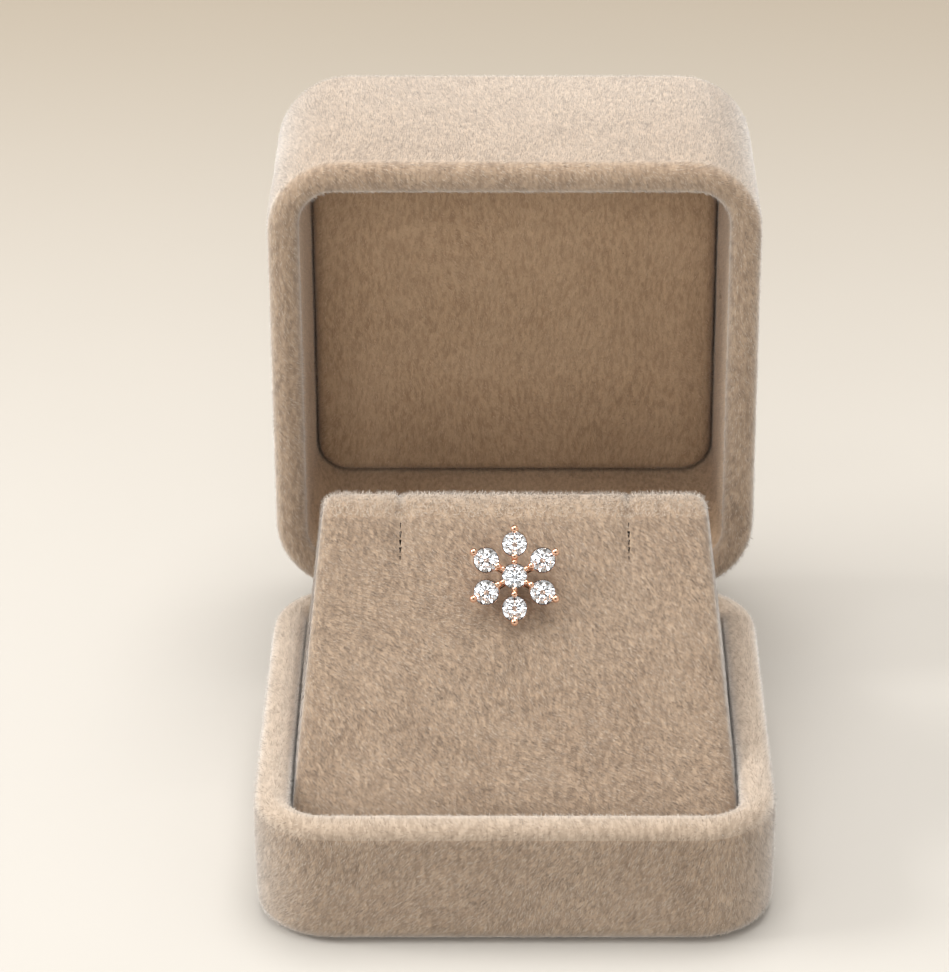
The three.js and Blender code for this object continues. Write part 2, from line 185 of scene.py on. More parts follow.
def loft(rings: Sequence[Ring], zones: Sequence[Zone], steps: int) -> bmesh.types.BMesh:
    """A closed mesh through rings, with flat ends.

    Args:
        rings: the rings, in order along the surface.
        zones: zone of the first end, of each band between two rings and of the last end.
        steps: number of segments in a ring's corner.

    Returns:
        The mesh, its normals outward.
    """
    bm = bmesh.new()
    loops = []
    for ring in rings:
        places = corner_places(ring, steps)
        verts = bmesh.ops.create_circle(bm, segments=len(places), radius=ring.width)["verts"]
        for vert, place in zip(verts, places, strict=True):
            vert.co = place
        loops.append(sorted({e for v in verts for e in v.link_edges}, key=lambda e: e.index))
    ends = [bmesh.ops.contextual_create(bm, geom=loop)["faces"] for loop in (loops[0], loops[-1])]
    bands = [bmesh.ops.bridge_loops(bm, edges=a + b)["faces"] for a, b in zip(loops, loops[1:])]
    for zone, faces in zip(zones, [ends[0], *bands, ends[1]], strict=True):
        for face in faces:
            face.material_index = zone
            face.smooth = faces not in ends
    bmesh.ops.recalc_face_normals(bm, faces=bm.faces[:])
    return bm


def add_block(bm: bmesh.types.BMesh, low: Sequence[float], high: Sequence[float]) -> list[bmesh.types.BMVert]:
    """Adds a box between two corners.

    Args:
        bm: the mesh that it is added to.
        low: its lowest corner.
        high: its highest corner.

    Returns:
        The new vertices.
    """
    low_corner, high_corner = Vector(low), Vector(high)
    place = Matrix.Translation((low_corner + high_corner) / 2) @ Matrix.Diagonal(
        (*(high_corner - low_corner), 1.0)
    )
    return bmesh.ops.create_cube(bm, size=1.0, matrix=place)["verts"]


def add_rod(
    bm: bmesh.types.BMesh, start: Vector, end: Vector, radii: tuple[float, float], sides: int
) -> list[bmesh.types.BMVert]:
    """Adds a round rod between two points.

    Args:
        bm: the mesh that it is added to.
        start: middle of its first end.
        end: middle of its last end.
        radii: radius at the start and at the end.
        sides: number of sides.

    Returns:
        The new vertices.
    """
    along = end - start
    place = Matrix.Translation((start + end) / 2) @ along.to_track_quat("Z", "Y").to_matrix().to_4x4()
    made = bmesh.ops.create_cone(
        bm,
        cap_ends=True,
        segments=sides,
        radius1=radii[0],
        radius2=radii[1],
        depth=along.length,
        matrix=place,
    )
    return made["verts"]


def piece(name: str, bm: bmesh.types.BMesh, materials: Iterable[bpy.types.Material]) -> bpy.types.Object:
    """Turns a bmesh into an object of the scene, at the origin.

    Args:
        name: the piece's name.
        bm: its mesh, which is freed.
        materials: its material slots, in order.

    Returns:
        The new object.
    """
    mesh = bpy.data.meshes.new(name)
    bm.to_mesh(mesh)
    bm.free()
    for material in materials:
        mesh.materials.append(material)
    made = bpy.data.objects.new(name, mesh)
    bpy.context.scene.collection.objects.link(made)
    return made


def apply_modifiers(obj: bpy.types.Object) -> None:
    """Puts the result of the object's modifiers into its mesh, and removes them.

    Args:
        obj: the object.
    """
    depsgraph = bpy.context.evaluated_depsgraph_get()
    finished = bpy.data.meshes.new_from_object(obj.evaluated_get(depsgraph))
    rough = obj.data
    obj.modifiers.clear()
    obj.data = finished
    finished.name = obj.name
    bpy.data.meshes.remove(rough)


def cut(obj: bpy.types.Object, cutters: Sequence[bmesh.types.BMesh]) -> None:
    """Cuts shapes out of a piece. The new walls are bare.

    Args:
        obj: the piece.
        cutters: closed meshes, which are freed.
    """
    tools = []
    for i, bm in enumerate(cutters):
        for face in bm.faces:
            face.material_index = Zone.BARE
        bmesh.ops.recalc_face_normals(bm, faces=bm.faces[:])
        tool = piece(f"{obj.name}_cutter_{i}", bm, obj.data.materials)
        modifier = obj.modifiers.new(tool.name, "BOOLEAN")
        modifier.operation = "DIFFERENCE"
        modifier.solver = "EXACT"
        modifier.object = tool
        tools.append(tool)
    apply_modifiers(obj)
    obj.data.set_sharp_from_angle(angle=SHARP_ANGLE)
    for tool in tools:
        bpy.data.meshes.remove(tool.data)


class NodeBench:
    """Adds and joins the nodes of one tree."""

    def __init__(self, tree: bpy.types.NodeTree) -> None:
        """Keeps the tree."""
        self.tree = tree

    def join(self, value: object, socket: bpy.types.NodeSocket) -> None:
        """Joins an output to the socket, or sets the socket to a plain value."""
        if isinstance(value, bpy.types.NodeSocket):
            self.tree.links.new(value, socket)
        else:
            socket.default_value = value

    def feed(self, node: bpy.types.Node, inputs: dict[str, object]) -> None:
        """Joins or sets a node's inputs, each by its name."""
        for name, value in inputs.items():
            self.join(value, next(s for s in node.inputs if s.name == name and s.enabled))

    def add(self, kind: str, inputs: dict[str, object] | None = None, **settings: object) -> bpy.types.Node:
        """Adds a node.

        Args:
            kind: the node's type.
            inputs: an output or a plain value for each input that isn't left alone.
            settings: values for the node's own properties.

        Returns:
            The node.
        """
        node = self.tree.nodes.new(kind)
        for name, value in settings.items():
            setattr(node, name, value)
        self.feed(node, inputs or {})
        return node

    def calculate(self, kind: str, operation: str, values: Sequence[object]) -> bpy.types.NodeSocket:
        """Adds a node that works something out.

        Args:
            kind: the node's type.
            operation: its operation.
            values: an output or a plain value for each of its inputs.

        Returns:
            Its result.
        """
        node = self.add(kind, operation=operation)
        for value, socket in zip(values, [s for s in node.inputs if s.enabled]):
            self.join(value, socket)
        return live_output(node)

    def math(self, operation: str, *values: object) -> bpy.types.NodeSocket:
        """Adds a Math node, and returns its result."""
        return self.calculate("ShaderNodeMath", operation, values)

    def vector_math(self, operation: str, *values: object) -> bpy.types.NodeSocket:
        """Adds a Vector Math node, and returns its result."""
        return self.calculate("ShaderNodeVectorMath", operation, values)

    def noise(
        self, vector: bpy.types.NodeSocket, scale: float, detail: float, rough: float = 0.5
    ) -> bpy.types.NodeSocket:
        """Adds a noise texture.

        Args:
            vector: where it is read.
            scale: waves in a metre.
            detail: its detail.
            rough: its roughness.

        Returns:
            Its value.
        """
        inputs = {"Vector": vector, "Scale": scale, "Detail": detail, "Roughness": rough}
        return self.add("ShaderNodeTexNoise", inputs).outputs["Fac"]

    def stretched(
        self, place: bpy.types.NodeSocket, scale: Sequence[float], turn: float = 0.0
    ) -> bpy.types.NodeSocket:
        """Adds a mapping, and returns the scaled and turned place."""
        inputs = {"Vector": place, "Rotation": (turn, turn, turn), "Scale": scale}
        return self.add("ShaderNodeMapping", inputs).outputs["Vector"]

    def spread(self, value: bpy.types.NodeSocket, ends: tuple[float, float]) -> bpy.types.NodeSocket:
        """Stretches a mask, so that it runs from 0 to 1 between the two ends."""
        inputs = {"Value": value, "From Min": ends[0], "From Max": ends[1]}
        return self.add("ShaderNodeMapRange", inputs, interpolation_type="SMOOTHSTEP").outputs["Result"]

    def mix(self, share: object, first: object, second: object) -> bpy.types.NodeSocket:
        """Mixes two colours.

        Args:
            share: how much of the second colour.
            first: the first colour, an output or three numbers.
            second: the second colour.

        Returns:
            The mixture.
        """
        first, second = (opaque(c) if isinstance(c, tuple) else c for c in (first, second))
        node = self.add("ShaderNodeMix", {"Factor": share, "A": first, "B": second}, data_type="RGBA")
        return live_output(node)

    def bump(self, height: bpy.types.NodeSocket, strength: float, distance: float) -> bpy.types.NodeSocket:
        """Adds a bump, and returns the bent normal."""
        inputs = {"Strength": strength, "Distance": distance, "Height": height}
        return self.add("ShaderNodeBump", inputs).outputs["Normal"]


def live_output(node: bpy.types.Node) -> bpy.types.NodeSocket:
    """The node's first output that is in use."""
    return next(s for s in node.outputs if s.enabled)


def new_material(name: str) -> tuple[bpy.types.Material, NodeBench, bpy.types.Node]:
    """Makes a material with a Principled shader.

    Args:
        name: the material's name.

    Returns:
        The material, the bench for its nodes and the shader.
    """
    material = bpy.data.materials.new(name)
    material.use_nodes = True
    bench = NodeBench(material.node_tree)
    return material, bench, material.node_tree.nodes["Principled BSDF"]


@dataclass(frozen=True)
class Nap:
    """The marks of a brushed nap: broad patches, short slanting streaks and fine specks."""

    patch_scale: float = 110.0
    swirl_scale: float = 60.0
    swirl_reach: float = 0.004
    streaks: tuple[tuple[float, tuple[float, float, float]], ...] = (
        (0.6, (2600.0, 900.0, 900.0)),
        (-0.7, (2400.0, 1000.0, 800.0)),
    )
    speck_scale: float = 3600.0
    streak_height: float = 0.6
    speck_height: float = 0.4

    def group(self) -> bpy.types.NodeTree:
        """The marks' node group, made on the first call.

        Returns:
            A shader node group from a place to the three masks and a height.
        """
        found = bpy.data.node_groups.get("brushed_nap")
        if found:
            return found
        tree = bpy.data.node_groups.new("brushed_nap", "ShaderNodeTree")
        tree.interface.new_socket("Place", in_out="INPUT", socket_type="NodeSocketVector")
        for name in ("Patch", "Streak", "Speck", "Height"):
            tree.interface.new_socket(name, in_out="OUTPUT", socket_type="NodeSocketFloat")
        bench = NodeBench(tree)
        place = bench.add("NodeGroupInput").outputs["Place"]
        patch = bench.noise(place, self.patch_scale, 3.0, 0.6)
        swirl = bench.noise(place, self.swirl_scale, 2.0).node.outputs["Color"]
        bent = bench.vector_math("ADD", place, bench.vector_math("SCALE", swirl, self.swirl_reach))
        brushed = [bench.noise(bench.stretched(bent, scale, turn), 1.0, 2.0) for turn, scale in self.streaks]
        streak = bench.math("MULTIPLY", bench.math("ADD", *brushed), 0.5)
        speck = bench.noise(place, self.speck_scale, 2.0)
        high_streak = bench.math("MULTIPLY", streak, self.streak_height)
        height = bench.math("ADD", high_streak, bench.math("MULTIPLY", speck, self.speck_height))
        bench.add("NodeGroupOutput", {"Patch": patch, "Streak": streak, "Speck": speck, "Height": height})
        return tree


@dataclass(frozen=True)
class VelvetFinish:
    """The cloth ground of a velvet surface, as seen between its hairs."""

    name: str
    deep: Colour
    middle: Colour
    light: Colour
    sheen: float = 1.0
    sheen_roughness: float = 0.55
    sheen_tint: Colour = (1.0, 0.97, 0.93)
    roughness: float = 0.95
    bump: float = 0.5
    bump_height: float = 0.12 * MM
    streak_ends: tuple[float, float] = (0.36, 0.62)
    patch_ends: tuple[float, float] = (0.35, 0.7)
    patch_share: float = 0.25
    speck_ends: tuple[float, float] = (0.3, 0.46)
    speck_share: float = 0.5

    def material(self) -> bpy.types.Material:
        """Makes the finish's material.

        Returns:
            The material.
        """
        material, bench, shader = new_material(self.name)
        place = bench.add("ShaderNodeTexCoord").outputs["Object"]
        masks = bench.add("ShaderNodeGroup", {"Place": place}, node_tree=Nap().group()).outputs
        ground = bench.mix(bench.spread(masks["Streak"], self.streak_ends), self.deep, self.middle)
        patch = bench.math("MULTIPLY", bench.spread(masks["Patch"], self.patch_ends), self.patch_share)
        brushed = bench.mix(patch, ground, self.light)
        speck = bench.spread(masks["Speck"], self.speck_ends)
        flecked = bench.math("MULTIPLY_ADD", speck, self.speck_share, 1 - self.speck_share)
        inputs = {
            "Base Color": bench.mix(flecked, self.deep, brushed),
            "Normal": bench.bump(masks["Height"], self.bump, self.bump_height),
            "Roughness": self.roughness,
            "Sheen Weight": self.sheen,
            "Sheen Roughness": self.sheen_roughness,
            "Sheen Tint": opaque(self.sheen_tint),
        }
        bench.feed(shader, inputs)
        return material


@dataclass(frozen=True)
class HairTone:
    """One of the tones of a velvet's hairs."""

    name: str
    colour: Colour
    sheen: float = 1.0
    sheen_roughness: float = 0.55
    roughness: float = 0.8

    def material(self) -> bpy.types.Material:
        """Makes the tone's material.

        Returns:
            The material.
        """
        material, bench, shader = new_material(self.name)
        inputs = {
            "Base Color": opaque(self.colour),
            "Roughness": self.roughness,
            "Sheen Weight": self.sheen,
            "Sheen Roughness": self.sheen_roughness,
        }
        bench.feed(shader, inputs)
        return material


@dataclass(frozen=True)
class MetalFinish:
    """A polished or brushed metal with faint rubbing marks."""

    name: str
    colour: Colour
    worn: Colour
    roughness: tuple[float, float]
    brush: tuple[float, float, float]
    bump: float = 0.05
    bump_height: float = 0.02 * MM
    rubbing_ends: tuple[float, float] = (0.3, 0.7)
    cloud_scale: float = 700.0
    cloud_ends: tuple[float, float] = (0.35, 0.7)

    def material(self) -> bpy.types.Material:
        """Makes the finish's material.

        Returns:
            The material.
        """
        material, bench, shader = new_material(self.name)
        place = bench.add("ShaderNodeTexCoord").outputs["Object"]
        rubbing = bench.noise(bench.stretched(place, self.brush), 1.0, 4.0, 0.6)
        cloud = bench.spread(bench.noise(place, self.cloud_scale, 2.0), self.cloud_ends)
        (low, high), (smooth, rough) = self.rubbing_ends, self.roughness
        ends = {"Value": rubbing, "From Min": low, "From Max": high, "To Min": smooth, "To Max": rough}
        inputs = {
            "Base Color": bench.mix(cloud, self.colour, self.worn),
            "Roughness": bench.add("ShaderNodeMapRange", ends).outputs["Result"],
            "Normal": bench.bump(rubbing, self.bump, self.bump_height),
            "Metallic": 1.0,
        }
        bench.feed(shader, inputs)
        return material


@dataclass(frozen=True)
class StoneFinish:
    """A clear, colourless brilliant."""

    name: str = "clear_brilliant"
    colour: Colour = (0.83, 0.885, 0.97)
    ior: float = 2.4

    def material(self) -> bpy.types.Material:
        """Makes the finish's material.

        Returns:
            The material.
        """
        material, bench, shader = new_material(self.name)
        clear = {"Roughness": 0.0, "IOR": self.ior, "Transmission Weight": 1.0}
        bench.feed(shader, {"Base Color": opaque(self.colour), **clear})
        return material


@dataclass(frozen=True)
class FloorFinish:
    """The pale floor that the box stands on, darkened towards the back by painted shade."""

    name: str = "pale_floor"
    colour: Colour = (0.525, 0.515, 0.495)
    grain_scale: float = 30.0
    grain_shade: float = 0.97
    far_shade: Colour = (0.33, 0.285, 0.225)
    fade: tuple[float, float] = (0.0, 0.32)
    roughness: float = 0.85

    def material(self) -> bpy.types.Material:
        """Makes the finish's material.

        Returns:
            The material.
        """
        material, bench, shader = new_material(self.name)
        place = bench.add("ShaderNodeTexCoord").outputs["Object"]
        darker = tuple(c * self.grain_shade for c in self.colour)
        near = bench.mix(bench.noise(place, self.grain_scale, 2.0), self.colour, darker)
        # Painted shade: further back along +Y the floor fades to a darker brown.
        away = bench.add("ShaderNodeSeparateXYZ", {"Vector": place}).outputs["Y"]
        tint = bench.mix(bench.spread(away, self.fade), near, self.far_shade)
        bench.feed(shader, {"Base Color": tint, "Roughness": self.roughness})
        return material


@dataclass(frozen=True)
class Velvet:
    """A velvet: its ground and the tones of its hairs, from deep to light."""

    ground: VelvetFinish
    hairs: tuple[HairTone, ...]


BEIGE_VELVET = Velvet(
    ground=VelvetFinish(
        name="beige_velvet",
        deep=(0.22, 0.15, 0.098),
        middle=(0.39, 0.285, 0.198),
        light=(0.49, 0.38, 0.28),
    ),
    hairs=(
        HairTone("beige_hair_deep", (0.12, 0.083, 0.056)),
        HairTone("beige_hair_tan", (0.20, 0.145, 0.103)),
        HairTone("beige_hair_sand", (0.28, 0.21, 0.155)),
        HairTone("beige_hair_cream", (0.37, 0.29, 0.222)),
        HairTone("beige_hair_pale", (0.50, 0.42, 0.345)),
    ),
)
TAUPE_VELVET = Velvet(
    ground=VelvetFinish(
        name="taupe_velvet",
        deep=(0.36, 0.243, 0.153),
        middle=(0.53, 0.38, 0.248),
        light=(0.61, 0.46, 0.32),
        sheen=0.4,
    ),
    hairs=(
        HairTone("taupe_hair_deep", (0.40, 0.285, 0.185), 0.4),
        HairTone("taupe_hair_brown", (0.49, 0.355, 0.235), 0.4),
        HairTone("taupe_hair_tan", (0.57, 0.42, 0.285), 0.4),
        HairTone("taupe_hair_sand", (0.65, 0.49, 0.345), 0.4),
    ),
)
# Painted highlight: a paler copy of the beige velvet, for the tray's up-facing rim where light grazes the
# nap.
RIM_HIGHLIGHT_VELVET = VelvetFinish(
    name="brushed_velvet",
    deep=(0.29, 0.222, 0.162),
    middle=(0.435, 0.345, 0.265),
    light=(0.525, 0.43, 0.345),
)
# Painted shade: near-black velvet for the walls of the pad's slits and post hole, where shade falls.
SHADED_VELVET = VelvetFinish(
    name="shaded_velvet",
    deep=(0.03, 0.021, 0.014),
    middle=(0.06, 0.042, 0.028),
    light=(0.09, 0.065, 0.045),
    sheen=0.1,
)
ROSE_GOLD = MetalFinish(
    name="rose_gold",
    colour=(0.91, 0.56, 0.39),
    worn=(0.94, 0.64, 0.48),
    roughness=(0.08, 0.17),
    brush=(2500.0, 2500.0, 2500.0),
)
# Painted shade: a dark grey metal for the cups' inner faces, under the stones.
SHADED_SEAT = MetalFinish(
    name="shaded_seat",
    colour=(0.20, 0.21, 0.24),
    worn=(0.34, 0.35, 0.38),
    roughness=(0.3, 0.5),
    brush=(2500.0, 2500.0, 2500.0),
)
HINGE_STEEL = MetalFinish(
    name="hinge_steel",
    colour=(0.56, 0.53, 0.48),
    worn=(0.66, 0.64, 0.6),
    roughness=(0.25, 0.5),
    brush=(250.0, 6000.0, 6000.0),
    bump=0.25,
)


@dataclass(frozen=True)
class Pile:
    """The hairs of a velvet surface, grown on one zone of a piece.

    A hair stands off the cloth and leans the way the nap was brushed, which wanders from place to place.
    """

    name: str
    ground: str
    body: str
    zone: Zone
    count: int
    seed: int
    taupe: bool = False
    slot: str = "velvet"
    length: float = 0.45 * MM
    width: float = 0.055 * MM
    sizes: tuple[float, float] = (0.65, 1.15)
    rise: float = 0.4
    lean: tuple[float, float, float] = (0.0, 0.5, -0.5)
    swirl: float = 1.3
    swirl_scale: float = 70.0
    scatter: float = 0.3
    roll: float = 0.7
    crispness: float = 0.2
    # pallor lifts the hairs towards the paler tones; set high on the rims and the ridge, it is a painted
    # highlight where light grazes the up-facing nap.
    pallor: float = 0.2
    tone_scatter: float = 0.42
    patch_scale: float = 260.0
    patch_share: float = 0.6

    def hair(self) -> bpy.types.Object:
        """Makes the hair that is copied: a narrow blade, its root at the origin and its tip up.

        Returns:
            The hair.
        """
        bm = bmesh.new()
        verts = bmesh.ops.create_circle(bm, cap_ends=True, segments=3, radius=1.0)["verts"]
        left, right, tip = sorted(verts, key=lambda v: v.co.y)
        left.co, right.co, tip.co = (-self.width / 2, 0, 0), (self.width / 2, 0, 0), (0, 0, self.length)
        return piece(f"{self.name}_hair", bm, [])

    def random(self, bench: NodeBench, low: object, high: object, offset: int) -> bpy.types.NodeSocket:
        """Adds a Random Value node.

        Args:
            bench: the bench for the nodes.
            low: the lowest value, a number or three.
            high: the highest value.
            offset: what is added to the pile's seed.

        Returns:
            Its output.
        """
        kind = "FLOAT" if isinstance(low, float) else "FLOAT_VECTOR"
        inputs = {"Min": low, "Max": high, "Seed": self.seed + offset}
        return live_output(bench.add("FunctionNodeRandomValue", inputs, data_type=kind))

    def roots(self, bench: NodeBench, ground: bpy.types.Object) -> bpy.types.Node:
        """Adds the node that scatters the hairs' roots.

        Args:
            bench: the bench for the nodes.
            ground: the piece that the hairs grow on.

        Returns:
            The node.
        """
        index = bench.add("GeometryNodeInputMaterialIndex").outputs[0]
        inputs = {"A": index, "B": int(self.zone)}
        here = bench.add("FunctionNodeCompare", inputs, data_type="INT", operation="EQUAL").outputs[0]
        area = sum(p.area for p in ground.data.polygons if p.material_index == self.zone)
        source = bench.add("NodeGroupInput").outputs[0]
        spread = {"Mesh": source, "Selection": here, "Density": self.count / area, "Seed": self.seed}
        return bench.add("GeometryNodeDistributePointsOnFaces", spread, distribute_method="RANDOM")

    def rotation(
        self, bench: NodeBench, place: bpy.types.NodeSocket, normal: bpy.types.NodeSocket
    ) -> bpy.types.NodeSocket:
        """Adds nodes that turn a hair from upright to the way it leans.

        Args:
            bench: the bench for the nodes.
            place: the root's place.
            normal: the cloth's normal there.

        Returns:
            The rotation.
        """
        wander = bench.noise(place, self.swirl_scale, 1.0).node.outputs["Color"]
        centred = bench.vector_math("SUBTRACT", wander, (0.5, 0.5, 0.5))
        brushed = bench.vector_math("ADD", bench.vector_math("SCALE", centred, self.swirl * 2), self.lean)
        jitter = self.random(bench, (-self.scatter,) * 3, (self.scatter,) * 3, 1)
        flow = bench.vector_math("ADD", brushed, jitter)
        along = bench.vector_math("SUBTRACT", flow, bench.vector_math("PROJECT", flow, normal))
        direction = bench.vector_math("ADD", bench.vector_math("SCALE", normal, self.rise), along)
        align = "FunctionNodeAlignRotationToVector"
        aligned = bench.add(align, {"Vector": direction}, axis="Z").outputs[0]
        inputs = {"Rotation": aligned, "Vector": normal}
        level = bench.add(align, inputs, axis="Y", pivot_axis="Z").outputs[0]
        roll = bench.add("ShaderNodeCombineXYZ", {"Z": self.random(bench, -self.roll, self.roll, 2)})
        inputs = {"Rotation": level, "Rotate By": roll.outputs[0]}
        return bench.add("FunctionNodeRotateRotation", inputs, rotation_space="LOCAL").outputs[0]

    def tone(self, bench: NodeBench, place: bpy.types.NodeSocket, tones: int) -> bpy.types.NodeSocket:
        """Adds nodes that choose a hair's tone, in patches.

        Args:
            bench: the bench for the nodes.
            place: the root's place.
            tones: number of tones.

        Returns:
            The tone's number, not yet rounded.
        """
        patches = bench.noise(place, self.patch_scale, 3.0, 0.7)
        own = self.random(bench, -self.tone_scatter, self.tone_scatter, 4)
        tone = bench.math("ADD", own, bench.math("MULTIPLY_ADD", patches, self.patch_share, self.pallor))
        return bench.math("MULTIPLY", tone, float(tones))

    def tree(self, ground: bpy.types.Object, hair: bpy.types.Object, tones: int) -> bpy.types.NodeTree:
        """Builds the geometry nodes that grow the hairs.

        Args:
            ground: the piece that the hairs grow on.
            hair: the hair that is copied.
            tones: number of tones.

        Returns:
            The node tree.
        """
        tree = bpy.data.node_groups.new(self.name, "GeometryNodeTree")
        for in_out in ("INPUT", "OUTPUT"):
            tree.interface.new_socket("Geometry", in_out=in_out, socket_type="NodeSocketGeometry")
        bench = NodeBench(tree)
        roots = self.roots(bench, ground)
        points, normal = roots.outputs["Points"], roots.outputs["Normal"]
        place = bench.add("GeometryNodeInputPosition").outputs[0]
        marks = (("facing", "FLOAT_VECTOR", normal), ("tone", "FLOAT", self.tone(bench, place, tones)))
        for name, kind, value in marks:
            inputs = {"Geometry": points, "Name": name, "Value": value}
            stored = bench.add("GeometryNodeStoreNamedAttribute", inputs, data_type=kind, domain="POINT")
            points = stored.outputs[0]
        copied = {
            "Points": points,
            "Instance": bench.add("GeometryNodeObjectInfo", {"Object": hair}).outputs["Geometry"],
            "Rotation": self.rotation(bench, place, normal),
            "Scale": self.random(bench, *self.sizes, 3),
        }
        copies = bench.add("GeometryNodeInstanceOnPoints", copied).outputs[0]
        real = bench.add("GeometryNodeRealizeInstances", {"Geometry": copies}).outputs[0]
        facing, tone = (
            live_output(bench.add("GeometryNodeInputNamedAttribute", {"Name": name}, data_type=kind))
            for name, kind, _ in marks
        )
        own = bench.add("GeometryNodeInputNormal").outputs[0]
        inward = bench.math("LESS_THAN", bench.vector_math("DOT_PRODUCT", own, facing), 0.0)
        turned = bench.add("GeometryNodeFlipFaces", {"Mesh": real, "Selection": inward}).outputs[0]
        kept = bench.add("ShaderNodeClamp", {"Value": tone, "Max": tones - 0.01}).outputs[0]
        dye = {"Geometry": turned, "Material Index": bench.math("FLOOR", kept)}
        dyed = bench.add("GeometryNodeSetMaterialIndex", dye).outputs[0]
        bench.add("NodeGroupOutput", {"Geometry": dyed})
        return tree

    def soften(self, mesh: bpy.types.Mesh) -> None:
        """Turns the hairs' normals most of the way to the cloth's, so that the nap is lit as one surface.

        Args:
            mesh: the hairs, each of three vertices of its own, with the cloth's normals as "facing".
        """
        turned = self.read(mesh.attributes["facing"].data, "vector", 3)
        corners = self.read(mesh.loops, "vertex_index", 1, np.int32)[:, 0]
        own = np.repeat(self.read(mesh.polygons, "normal", 3), 3, axis=0)
        turned[corners] = turned[corners] * (1 - self.crispness) + own * self.crispness
        turned /= np.linalg.norm(turned, axis=1, keepdims=True)
        mesh.normals_split_custom_set_from_vertices(turned)

    def read(
        self, items: bpy.types.bpy_prop_collection, name: str, width: int, kind: type = np.float32
    ) -> np.ndarray:
        """Reads one property of many items.

        Args:
            items: the items.
            name: the property.
            width: how many numbers it has.
            kind: the numbers' type.

        Returns:
            A row of numbers for each item.
        """
        values = np.empty(len(items) * width, kind)
        items.foreach_get(name, values)
        return values.reshape(-1, width)

    def grow(self, materials: Sequence[bpy.types.Material]) -> None:
        """Grows the hairs as a piece of their own.

        Args:
            materials: the hairs' tones.
        """
        hair = self.hair()
        ground = bpy.data.objects[self.ground]
        pile = bpy.data.objects.new(self.name, ground.data.copy())
        bpy.context.scene.collection.objects.link(pile)
        pile.modifiers.new("pile", "NODES").node_group = self.tree(ground, hair, len(materials))
        apply_modifiers(pile)
        bpy.data.meshes.remove(hair.data)
        mesh = pile.data
        dyes = self.read(mesh.polygons, "material_index", 1, np.int32)
        mesh.materials.clear()
        for material in materials:
            mesh.materials.append(material)
        mesh.polygons.foreach_set("material_index", dyes[:, 0])
        self.soften(mesh)
        for name in ("tone", "facing"):
            mesh.attributes.remove(mesh.attributes[name])
        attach(pile, self.body)
        LOG.info("%s: %d hairs", self.name, len(mesh.polygons))


@dataclass
class BoxHalf:
    """The tray or the lid: an open shell with rounded edges and a pocket for the hinge.

    It is drawn open upwards about its own foot, then placed.
    """

    name: str
    node: str
    body: str
    height: float
    floor: float
    foot_round: float
    foot_zone: Zone
    hinge_side: int
    place: Matrix
    rim_rounds: tuple[float, float] = (1.35 * MM, 1.25 * MM)
    rim_crown: float = 0.1 * MM
    corner_steps: int = 8
    round_steps: int = 6

    def rings(self) -> list[Ring]:
        """The rings from the foot up the outside, over the rim and down the inside.

        Returns:
            The rings, in that order.
        """
        s, steps = SIZES, self.round_steps
        foot = Section.FOOT.points(self.foot_round, self.foot_round, self.foot_round, steps)
        outer_round, inner_round = self.rim_rounds
        top = self.height - self.rim_crown
        outer = Section.OUTER_RIM.points(outer_round, top - outer_round, outer_round, steps)
        inner = Section.INNER_RIM.points(s.wall - inner_round, top - inner_round, inner_round, steps)
        crown = WallPoint((s.wall + outer_round - inner_round) / 2, self.height)
        well_round = s.inner_edge_round
        well = Section.WELL.points(s.wall + well_round, self.floor + well_round, well_round, steps)
        narrowing = (s.inner_radius - s.plan_radius) / s.wall
        rings = [wall_ring(p, s.plan_radius - p.inset) for p in foot]
        rings += [wall_ring(p, s.plan_radius + narrowing * p.inset) for p in (*outer, crown, *inner)]
        rings += [wall_ring(p, s.inner_radius + s.wall - p.inset) for p in well]
        return rings

    def zones(self, rings: Sequence[Ring]) -> list[Zone]:
        """Zone of the foot, of each band and of the floor.

        Args:
            rings: the shell's rings.

        Returns:
            The zones, in order along the surface.
        """
        steps = self.round_steps
        foot = [self.foot_zone] * (steps // 2)
        outside = [Zone.OUTSIDE] * (steps - steps // 2 + 1)
        rim = [Zone.RIM] * (2 * steps + 2)
        inside = [Zone.INSIDE] * (len(rings) - 1 - len(foot) - len(outside) - len(rim))
        return [self.foot_zone, *foot, *outside, *rim, *inside, Zone.BARE]

    def pocket(self) -> list[bmesh.types.BMesh]:
        """The two blocks that make room for this half of the hinge.

        Returns:
            The blocks, in their places.
        """
        s = SIZES
        half = s.hinge_width / 2 + s.seat_gap
        axis_z = self.height + s.rim_gap / 2
        clear = s.hinge_radius + s.seat_gap
        over = axis_z + 2 * OVERSHOOT
        spans = [
            (-clear, s.leaf_thickness - s.hinge_radius + s.seat_gap, -s.leaf_length - s.seat_gap),
            (-clear, s.hinge_radius + OVERSHOOT, -clear),
        ]
        blocks = []
        for near, far, down in spans:
            bm = bmesh.new()
            ys = sorted(self.hinge_side * (s.axis_y + y) for y in (near, far))
            add_block(bm, (-half, ys[0], axis_z + down), (half, ys[1], over))
            bmesh.ops.transform(bm, matrix=self.place, verts=bm.verts[:])
            blocks.append(bm)
        return blocks

    def build(self, materials: Sequence[bpy.types.Material]) -> bpy.types.Object:
        """Builds the shell.

        Args:
            materials: a material for each zone.

        Returns:
            The piece, riding on its body and standing for its node.
        """
        rings = self.rings()
        bm = loft(rings, self.zones(rings), self.corner_steps)
        bmesh.ops.transform(bm, matrix=self.place, verts=bm.verts[:])
        shell = piece(self.name, bm, materials)
        cut(shell, self.pocket())
        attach(shell, self.body)
        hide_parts(self.node)
        return shell


